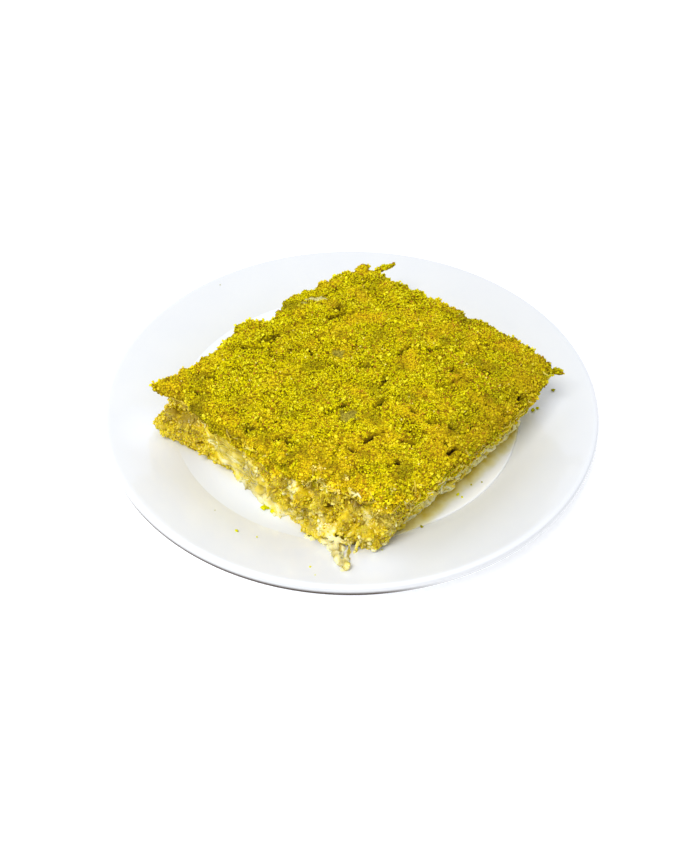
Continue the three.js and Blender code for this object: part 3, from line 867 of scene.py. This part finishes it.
def cracks_at(points, margin):
    """1 in the topping's cracks and pits and within a margin in millimetres of them, 0 elsewhere."""
    depth = np.zeros(len(points))
    jitter = 0.3 * lumps(points, 1.1, 31)
    for crack in CRACKS:
        away = distance_to_lines(points, [crack]) + jitter
        depth = np.maximum(depth, 1 - smooth_step(0.5 * crack[4], 1.25 * crack[4], away - margin))
    cloudy = 0.3 * lumps(points, 9, 34) + 0.3 * margin + 0.12 * smooth_step(10, 40, points[:, 0] / MM)
    pits = smooth_step(0.92, 1.12, lumps(points, 1.6, 32) + cloudy)
    pinholes = 0.85 * smooth_step(0.8, 0.94, lumps(points, 0.9, 38) + cloudy)
    return np.maximum(depth, np.maximum(pits, pinholes))


def thin_at(points):
    """How bare the pastry is where the topping is thin, from 0 to 1."""
    bare = np.zeros(len(points))
    ragged = 0.35 * lumps(points, 1.3, 33)
    for x, y, half_length, half_width, pale in THIN_SPOTS:
        across = points[:, :2] / MM - (x, y)
        reach = np.hypot(across[:, 0] / half_length, across[:, 1] / half_width) + ragged
        bare = np.maximum(bare, pale * (1 - smooth_step(0.75, 1.05, reach)))
    return bare


# Pastry core and the topping's crust

def food_surfaces():
    """The core of the pastry and the crust of the topping, as fine meshes with uneven surfaces."""
    core = with_modifiers(
        cad_copy("kadayif_slab", SIDE_LUMPS),
        ("REMESH", {"mode": "VOXEL", "voxel_size": PASTRY_VOXEL * MM}),
        ("SMOOTH", {"iterations": 3, "factor": 0.5}),
    )
    points = coordinates(core)
    lobe, crumbled, right = zones(points)
    torn = np.clip(0.1 + crumbled + 0.6 * lobe + 0.35 * right, 0, 1)
    rugged = (0.6 + 0.5 * crumbled) * lumps(points, 4.4, 1)
    rugged += torn * (0.85 * ridges(points, 3.2, 2) + 0.5 * ridges(points, 1.5, 9))
    flow = np.stack([points[:, 0] * 0.3, points[:, 1] * 0.3, points[:, 2] + 0.3 * points[:, 0]], axis=1)
    rugged += (1 - torn) * 0.4 * ridges(flow, 1.8, 10)
    rugged *= 1 - 0.6 * fallen(points)
    rugged += CREAM_SWELL * cream(points)
    holes = near_spots(points, HOLES, 0.2)
    rugged -= HOLE_DEPTH * holes
    sunk = (1 - smooth_step(1.1, 1.9, distance_to_lines(points, [HIDDEN_STRAND]))) * fallen_low(points)
    lowered = np.stack([0 * sunk, 0 * sunk, -HIDDEN_DROP * sunk], axis=1)
    set_coordinates(core, points + (normals(core) * (rugged[:, None] - 0.2) + lowered) * MM)
    # Painted shade in the hollows and holes
    store(core, "pit_shade", np.maximum(0.8 * smooth_step(0.3, 1.4, -rugged), holes))
    store(core, "pale", pallor(points))
    store(core, "tone", np.full(len(points), 0.5))

    crust = with_modifiers(
        cad_copy("pistachio_topping"),
        ("REMESH", {"mode": "VOXEL", "voxel_size": CRUST_VOXEL * MM}),
        ("SMOOTH", {"iterations": 4, "factor": 0.5}),
    )
    points = coordinates(crust)
    facing = normals(crust)
    edge = smooth_step(-0.5, 0.1, facing[:, 2]) * (1 - smooth_step(0.6, 0.93, facing[:, 2]))
    rugged = 0.35 * lumps(points, 5.0, 4) + 0.24 * lumps(points, 2.2, 5) + 0.22 * lumps(points, 1.0, 6)
    rugged += edge * (0.95 * lumps(points, 3.6, 7) + 0.55 * lumps(points, 1.7, 8))
    crack = cracks_at(points, 0) * smooth_step(0.3, 0.7, facing[:, 2])
    thin = thin_at(points) * smooth_step(0.3, 0.7, facing[:, 2])
    crack = np.maximum(crack, near_spots(points, HOLES, 0.2))
    sunk = rugged - 0.15 - CRACK_DEPTH * crack - THIN_DEPTH * thin
    set_coordinates(crust, points + facing * sunk[:, None] * MM)
    # The crack attribute paints black shade into the cracks, pits and holes
    store(crust, "crack", crack)
    store(crust, "clear", cracks_at(points, CRACK_MARGIN) * smooth_step(0.3, 0.7, facing[:, 2]))
    store(crust, "thin", thin)
    store(crust, "cream", near_spots(points, PALE_CLUMPS, 0.35))
    for mesh in (core, crust):
        store(mesh, "gold", gold_stain(coordinates(mesh)))
        # dark holds olive patches and painted shade
        store(mesh, "dark", shade(coordinates(mesh)))
    return core, crust


def tree_of(*meshes):
    """A tree for casting rays at the meshes."""
    places = []
    faces = []
    for mesh in meshes:
        faces += [[len(places) + v for v in polygon.vertices] for polygon in mesh.polygons]
        places += [tuple(v) for v in coordinates(mesh)]
    return BVHTree.FromPolygons(places, faces)


def outward_of(points):
    """Unit vectors in plan from the slab's middle to each point."""
    away = points[:, :2] / MM - CENTRE
    away /= np.maximum(np.linalg.norm(away, axis=1, keepdims=True), 1e-6)
    return np.concatenate([away, np.zeros((len(points), 1))], axis=1)


def read(mesh, name):
    """The values of an attribute of a mesh."""
    values = np.empty(len(mesh.vertices), dtype=np.float32)
    mesh.attributes[name].data.foreach_get("value", values)
    return values.astype(float)


def crust_cover(crust):
    """Crumbs lie on the crust's top and outer sides, not on its underside, in cracks or on thin spots."""
    facing = normals(crust)
    outer = (facing * outward_of(coordinates(crust))).sum(axis=1)
    seen = np.maximum(smooth_step(0.1, 0.4, facing[:, 2]), smooth_step(0.1, 0.4, outer))
    seen *= smooth_step(-0.8, -0.5, facing[:, 2])
    return seen * (1 - np.maximum(read(crust, "clear"), np.minimum(1, 1.7 * read(crust, "thin"))))


def core_open(core, crust_tree):
    """1 where the pastry's sides show, and 0 under the topping and on its base."""
    points = coordinates(core)
    facing = normals(core)
    away = outward_of(points)
    outer = (facing * away).sum(axis=1)
    shows = smooth_step(0.0, 0.3, outer) * smooth_step(-0.75, -0.4, facing[:, 2])
    for index in np.nonzero(shows > 0)[0]:
        start = Vector(points[index]) + Vector(away[index]) * 0.3 * MM
        if crust_tree.ray_cast(start, Vector(away[index]), 12 * MM)[0] is not None:
            shows[index] = 0
    return shows


# Strands and single lumps

def strand_paths(surface_tree, random, count, lengths, heights, zone, layer, curl=1.0):
    """Wavy paths along the slab's sides. zone gives a chance from 0 to 1 for a place on the surface."""
    paths = []
    tries = 0
    middle = Vector((*(CENTRE * MM), 0))
    while len(paths) < count and tries < count * 30:
        tries += 1
        angle = random.uniform(0, math.tau)
        height = random.uniform(*heights)
        slope = random.normal(0, 0.55)
        bend = random.normal(0, 0.12 * curl)
        length = random.uniform(*lengths)
        stand = random.uniform(*layer)
        turn_way = random.choice([-1, 1])
        path = []
        steps = max(5, int(length / STRAND_STEP))
        for step in range(steps):
            away = Vector((math.cos(angle), math.sin(angle), 0))
            start = middle + away * 0.12 + Vector((0, 0, height * MM))
            hit, facing, _, _ = surface_tree.ray_cast(start, -away)
            if hit is None or abs(facing.z) > 0.85 or sides_of(np.array([hit])).max() > STRAND_LIMIT:
                break
            if path and (hit - path[-1]).length > 2.6 * MM:
                break
            if step == 0 and random.random() > zone(np.array([hit]))[0]:
                break
            ends = min(step, steps - 1 - step)
            stand_here = stand * min(1, 0.35 + 0.4 * ends) + random.normal(0, 0.08)
            path.append(hit + Vector((facing.x, facing.y, facing.z * 0.5)).normalized() * stand_here * MM)
            reach = (hit - middle).xy.length / MM
            slope += bend + random.normal(0, 0.22 * curl)
            slope = max(-1.4, min(1.4, slope))
            angle += turn_way * STRAND_STEP * math.cos(slope) / reach
            height += STRAND_STEP * math.sin(slope)
            if not heights[0] - 1 < height < heights[1] + 1.5:
                slope = -slope
        if len(path) >= 4:
            paths.append(path)
    return paths


def strands_mesh(name, paths, random, tree, material, seed, radius):
    curve = bpy.data.curves.new(name, "CURVE")
    curve.dimensions = "3D"
    for path in paths:
        spline = curve.splines.new("POLY")
        spline.points.add(len(path) - 1)
        girth = random.uniform(0.65, 1.3)
        for index, point in enumerate(path):
            end = min(index, len(path) - 1 - index)
            spline.points[index].co = (*point, 1)
            spline.points[index].radius = girth * (0.55 if end == 0 else 1.0) * random.uniform(0.85, 1.15)
    made = grown_from(curve, tree, {"Radius": radius * MM, "Seed": seed, "Material": material})
    made.name = name
    return made


def ground_at(x, y):
    """The height of the plate or the milk, whichever is higher, in millimetres."""
    radius = math.hypot(x, y)
    return max(plate_height(radius), MILK_LEVEL if radius < MILK_REACH else 0)


def laid_lumps(name, places, random, flatness, detail):
    """Rugged lumps laid on the plate or the milk, as one mesh. places holds (x, y, size) in millimetres."""
    made = bmesh.new()
    tones = []
    for x, y, size in places:
        lump = bmesh.ops.create_icosphere(made, subdivisions=detail, radius=1)["verts"]
        shift = Vector(random.uniform(-9, 9, 3))
        girth = random.uniform(0.7, 1.0, 3) * (1, 1, flatness)
        turn = random.uniform(0, math.tau)
        tones += [random.random()] * len(lump)
        for vertex in lump:
            out = vertex.co * (1 + 0.8 * noise.noise(vertex.co * 1.4 + shift))
            across = out.x * girth[0]
            along = out.y * girth[1]
            vertex.co = (
                (x + 0.5 * size * (across * math.cos(turn) - along * math.sin(turn))) * MM,
                (y + 0.5 * size * (across * math.sin(turn) + along * math.cos(turn))) * MM,
                (ground_at(x, y) + 0.5 * size * (out.z + 0.6) * girth[2]) * MM,
            )
    mesh = bpy.data.meshes.new(name)
    made.to_mesh(mesh)
    made.free()
    store(mesh, "tone", tones)
    return mesh


# Colours, as linear (r, g, b), along each material's tone

BRIGHT = [
    (0.0, (0.52, 0.40, 0.001)),
    (0.35, (0.715, 0.63, 0.001)),
    (0.7, (0.795, 0.725, 0.004)),
    (1.0, (0.90, 0.82, 0.035)),
]
GREEN = [
    (0.0, (0.26, 0.235, 0.001)),
    (0.5, (0.54, 0.525, 0.002)),
    (1.0, (0.73, 0.71, 0.006)),
]
PALE = [
    (0.0, (0.74, 0.54, 0.03)),
    (0.6, (0.85, 0.68, 0.09)),
    (1.0, (0.90, 0.78, 0.20)),
]
BROWN = [
    (0.0, (0.045, 0.015, 0.003)),
    (0.5, (0.19, 0.065, 0.006)),
    (1.0, (0.50, 0.23, 0.02)),
]
PACKED = [
    (0.0, (0.10, 0.055, 0.001)),
    (0.35, (0.38, 0.285, 0.001)),
    (1.0, (0.74, 0.62, 0.002)),
]
PASTRY = [
    (0.0, (0.38, 0.255, 0.003)),
    (0.25, (0.68, 0.50, 0.006)),
    (0.5, (0.80, 0.625, 0.035)),
    (0.75, (0.87, 0.73, 0.19)),
    (1.0, (0.93, 0.865, 0.47)),
]
# The milk's clean first stop is paler and bluer than the glaze: painted light against the slab's yellow
# bounce
MILK = [
    (0.0, (0.775, 0.81, 0.89)),
    (0.2, (0.77, 0.775, 0.72)),
    (0.6, (0.70, 0.64, 0.30)),
    (1.0, (0.57, 0.44, 0.06)),
]
THIN = [
    (0.3, (0.30, 0.23, 0.008)),
    (0.6, (0.36, 0.29, 0.02)),
    (1.0, (0.78, 0.70, 0.28)),
]
GOLD = (0.86, 0.50, 0.012)
# Olive for patches, and painted shade
OLIVE_AND_SHADE = (0.20, 0.15, 0.004)
# Painted shade between the packed grains and in the cracks
GAP_SHADE = (0.022, 0.010, 0.003)
# Painted shade in hollows
PIT_SHADE = (0.20, 0.115, 0.003)
WET_OLIVE_AND_SHADE = (0.33, 0.25, 0.045)
# Painted light for the milk on the right
LIT_MILK = (0.86, 0.865, 0.85)
PORCELAIN = (0.755, 0.77, 0.785)
PORCELAIN_SMEAR = (0.77, 0.782, 0.79)
# Painted light for the glaze near the slab
PORCELAIN_PAINTED_LIGHT = (0.85, 0.88, 0.95)
# Painted shade for the rim and the plate's far side
RIM_SHADE = (0.08, 0.062, 0.05)
FLOOR_GLOW = 0.27


# Build

make_plate()
make_milk()

core_mesh, crust_mesh = food_surfaces()
crust_tree = tree_of(crust_mesh)
food_tree = tree_of(core_mesh, crust_mesh)
core_points = coordinates(core_mesh)
lobe, crumbled, right = zones(core_points)
shows = core_open(core_mesh, crust_tree)
top_cover = crust_cover(crust_mesh)

bright_crumb = crumb_material("bright_pistachio", BRIGHT, 0.45)
green_crumb = crumb_material("green_pistachio", GREEN, 0.15)
pale_crumb = crumb_material("pale_pistachio", PALE, 0.2)
brown_crumb = crumb_material("pistachio_skin", BROWN, 0.2)
wet_crumb = crumb_material("wet_pistachio", BRIGHT, 0.5, 0.4, 0.25)
wet_green_crumb = crumb_material("wet_green_pistachio", GREEN, 0.2, 0.4, 0.25)
wet_pale_crumb = crumb_material("wet_pale_pistachio", PALE, 0.2, 0.35, 0.3)
packed_crumb = packed_material("packed_pistachio", PACKED, 0.62)
wet_pastry = pastry_material("wet_pastry", PASTRY)

finished("pastry_core", core_mesh.copy(), wet_pastry, "soaked_pastry", "kadayif_slab")
finished("pistachio_crust", crust_mesh.copy(), packed_crumb, "ground_pistachio", "pistachio_topping")

chips = scatter_tree("strewn_chips", "GeometryNodeMeshCube", {"Size": (CHIP_SIDE, CHIP_SIDE, CHIP_SIDE)})
flakes = scatter_tree("strewn_flakes", "GeometryNodeMeshIcoSphere", {"Radius": 1.0, "Subdivisions": 1})


def strew(
    name, tree, surface, cover, material, node_slot, seed, density, sizes, depth,
    slimness=1.0, flatness=1.0, ruggedness=1.6, facets=True,
):
    """Strews bits over a copy of a surface. density is bits to a square millimetre where cover is 1."""
    ground = surface.copy()
    store(ground, "cover", cover)
    inputs = {
        "Density": density / (MM * MM),
        "Smallest": sizes[0] / 2 * MM,
        "Largest": sizes[1] / 2 * MM,
        "Sink": depth[0] * MM,
        "Rise": depth[1] * MM,
        "Slimness": slimness,
        "Flatness": flatness,
        "Ruggedness": ruggedness,
        "Seed": seed,
        "Material": material,
    }
    made = grown_from(ground, tree, inputs)
    made.name = name
    finished(name, made, material, node_slot, facets=facets)


PISTACHIO = "ground_pistachio"
dry_cover = top_cover * (1 - 0.9 * read(crust_mesh, "cream"))
dry_cover *= 1 - 0.6 * left_edge(coordinates(crust_mesh))
for name, tree, material, seed, density, sizes, depth in (
    ("crumbs_fine", chips, bright_crumb, 11, 1.22, (0.24, 0.5), (-0.05, 0.1)),
    ("crumbs_small", chips, bright_crumb, 12, 0.8, (0.35, 0.72), (-0.05, 0.2)),
    ("crumbs_green", chips, green_crumb, 13, 1.0, (0.25, 0.6), (-0.05, 0.15)),
    ("crumbs_pale", chips, pale_crumb, 14, 0.03, (0.3, 0.8), (-0.1, 0.2)),
):
    strew(name, tree, crust_mesh, dry_cover, material, PISTACHIO, seed, density, sizes, depth)

# More skins lie towards the right
skin_cover = dry_cover * (0.55 + 0.6 * smooth_step(5, 45, coordinates(crust_mesh)[:, 0] / MM))
strew(
    "crumbs_skin", chips, crust_mesh, skin_cover, brown_crumb, PISTACHIO, 15, 0.46, (0.25, 0.8), (0.0, 0.2)
)

facing_up = normals(crust_mesh)[:, 2]
brink = top_cover * smooth_step(-0.2, 0.2, facing_up) * (1 - smooth_step(0.75, 0.95, facing_up))
strew("crumbs_brink", chips, crust_mesh, brink, bright_crumb, PISTACHIO, 16, 0.5, (0.6, 1.5), (0.0, 0.6))

height = core_points[:, 2] / MM
spilt = 0.05 + 0.5 * crumbled + 0.6 * lobe + 0.8 * smooth_step(25, 29, height)
spilt += 0.7 * right * smooth_step(17, 20, height)
spilt += 0.5 * np.clip(lumps(core_points, 3.5, 12), -1, 1)
bare = np.maximum(0.93 * soft_side(core_points), 0.7 * left_edge(core_points))
sprinkled = shows * np.clip(spilt, 0, 1) * (1 - 0.95 * cream(core_points))
sprinkled *= 1 - fallen(core_points)
sprinkled *= 1 - bare
for name, material, seed, density, sizes in (
    ("side_crumbs", wet_crumb, 17, 2.0, (0.25, 0.8)),
    ("side_crumbs_green", wet_green_crumb, 18, 0.8, (0.25, 0.8)),
    ("side_crumbs_pale", wet_pale_crumb, 19, 0.35, (0.3, 1.0)),
    ("side_crumbs_skin", brown_crumb, 20, 0.16, (0.25, 0.7)),
):
    strew(name, chips, core_mesh, sprinkled, material, PISTACHIO, seed, density, sizes, (-0.15, 0.2))

creamy = top_cover * read(crust_mesh, "cream")
strew(
    "crumbs_cream", chips, crust_mesh, creamy, wet_pale_crumb, PISTACHIO, 25, 3.0, (0.35, 1.0), (-0.1, 0.3)
)

random = np.random.default_rng(5)
strand_nodes = strand_tree()


def matted(points):
    lobe, crumbled, _ = zones(points)
    return np.clip(1 - 0.8 * lobe - 0.5 * crumbled - 0.8 * left_edge(points), 0, 1)


def shredded(points):
    lobe, crumbled, _ = zones(points)
    return np.clip(0.08 + 0.9 * crumbled + 0.35 * lobe, 0, 1)


def right_foot(points):
    return zones(points)[2] * (points[:, 0] / MM < 58)


for name, count, lengths, heights, zone, layer, curl, radius, seed in (
    ("matted_strands", 380, (5, 16), (9.5, 27), matted, (-0.3, 0.15), 1.0, STRAND_RADIUS, 21),
    ("torn_shreds", 300, (2.5, 6), (10, 33), shredded, (-0.3, 0.8), 4.0, SHRED_RADIUS, 22),
    ("right_foot_strands", 90, (5, 14), (9.5, 13.5), right_foot, (0.1, 1.0), 1.5, FOOT_STRAND_RADIUS, 24),
):
    paths = strand_paths(food_tree, random, count, lengths, heights, zone, layer, curl)
    strands = strands_mesh(name, paths, random, strand_nodes, wet_pastry, seed, radius)
    store(strands, "pale", pallor(coordinates(strands)))
    # dark holds olive patches and painted shade
    store(strands, "dark", shade(coordinates(strands)))
    finished(name, strands, wet_pastry, "soaked_pastry")

flaky = shows * np.clip(0.06 + 0.7 * crumbled + 0.4 * lobe + 0.25 * right, 0, 1) * (1 - fallen(core_points))
strew(
    "torn_flakes", flakes, core_mesh, flaky, wet_pastry, "soaked_pastry", 23, 0.55, (0.8, 2.6), (-0.3, 0.5),
    slimness=0.6, flatness=0.55, ruggedness=2.0, facets=False,
)

slid = with_modifiers(
    laid_lumps("slid_pastry", SLID_LUMPS, random, 0.32, 2),
    ("REMESH", {"mode": "VOXEL", "voxel_size": SLID_VOXEL * MM}),
    ("SMOOTH", {"iterations": 2, "factor": 0.5}),
)
slid_points = coordinates(slid)
torn = 0.25 * ridges(slid_points, 2.4, 41) + 0.15 * ridges(slid_points, 1.2, 42)
set_coordinates(slid, slid_points + normals(slid) * (torn[:, None] - 0.1) * MM)
store(slid, "pale", np.clip(1.0 + 0.3 * lumps(slid_points, 2.5, 43), 0, 1))
# Painted shade in the slid pastry's hollows
store(slid, "pit_shade", 0.15 * smooth_step(0.2, 0.9, -torn))
store(slid, "tone", np.full(len(slid_points), 0.5))
finished("slid_pastry", slid, wet_pastry, "soaked_pastry")

stray = laid_lumps("stray_crumbs", STRAY_CRUMBS, random, 0.75, 1)
finished("stray_crumbs", stray, green_crumb, PISTACHIO, facets=True)


# Stage, light and camera

# Soft light all round, stronger from behind, and a key light from the front left above the viewer
WORLD_COLOUR = (0.955, 0.985, 1.06, 1)
WORLD_STRENGTH = 0.78
WORLD_SLANT = 0.17
KEY_PLACE = (-0.2, -0.38, 0.66)
KEY_AIM = (0, 0, 0.02)
KEY_SIZE = 0.28
KEY_POWER = 4.4
FLOOR_REACH = 3.0

# The camera's place and angle of view were fitted to the plate's rim in the photo
CAMERA_PLACE = (0, -0.21873, 0.21532)
CAMERA_DIRECTION = (-0.00108914, 0.71174968, -0.70243235)
CAMERA_LENS = 35.63
SENSOR_HEIGHT = 36
NEAREST_SEEN = 0.01


def make_floor():
    corners = [(-1, -1), (1, -1), (1, 1), (-1, 1)]
    mesh = mesh_from("floor", [(x * FLOOR_REACH, y * FLOOR_REACH, 0) for x, y in corners], [(0, 1, 2, 3)])
    mesh.materials.append(floor_material())
    link_object("floor", mesh)


def turned_to(direction):
    """The turn of a lamp or a camera that looks along the direction."""
    return Vector(direction).to_track_quat("-Z", "Y").to_euler()


def make_light():
    world = bpy.data.worlds.new("studio")
    world.use_nodes = True
    tree = world.node_tree
    background = tree.nodes["Background"]
    background.inputs["Color"].default_value = WORLD_COLOUR
    direction = add_node(tree, "ShaderNodeTexCoord").outputs["Generated"]
    behind = add_node(tree, "ShaderNodeSeparateXYZ", {"Vector": direction}).outputs["Y"]
    tree.links.new(scaled(tree, behind, WORLD_SLANT, WORLD_STRENGTH), background.inputs["Strength"])
    bpy.context.scene.world = world

    key = link_object("key", bpy.data.lights.new("key", "AREA"))
    key.data.energy = KEY_POWER
    key.data.size = KEY_SIZE
    key.location = KEY_PLACE
    key.rotation_euler = turned_to(Vector(KEY_AIM) - Vector(KEY_PLACE))


def make_camera():
    camera = link_object("camera", bpy.data.cameras.new("camera"))
    camera.data.sensor_fit = "VERTICAL"
    camera.data.sensor_height = SENSOR_HEIGHT
    camera.data.lens = CAMERA_LENS
    camera.data.clip_start = NEAREST_SEEN
    camera.location = CAMERA_PLACE
    camera.rotation_euler = turned_to(CAMERA_DIRECTION)
    bpy.context.scene.camera = camera


make_floor()
make_light()
make_camera()
bpy.context.scene.view_settings.view_transform = "Standard"
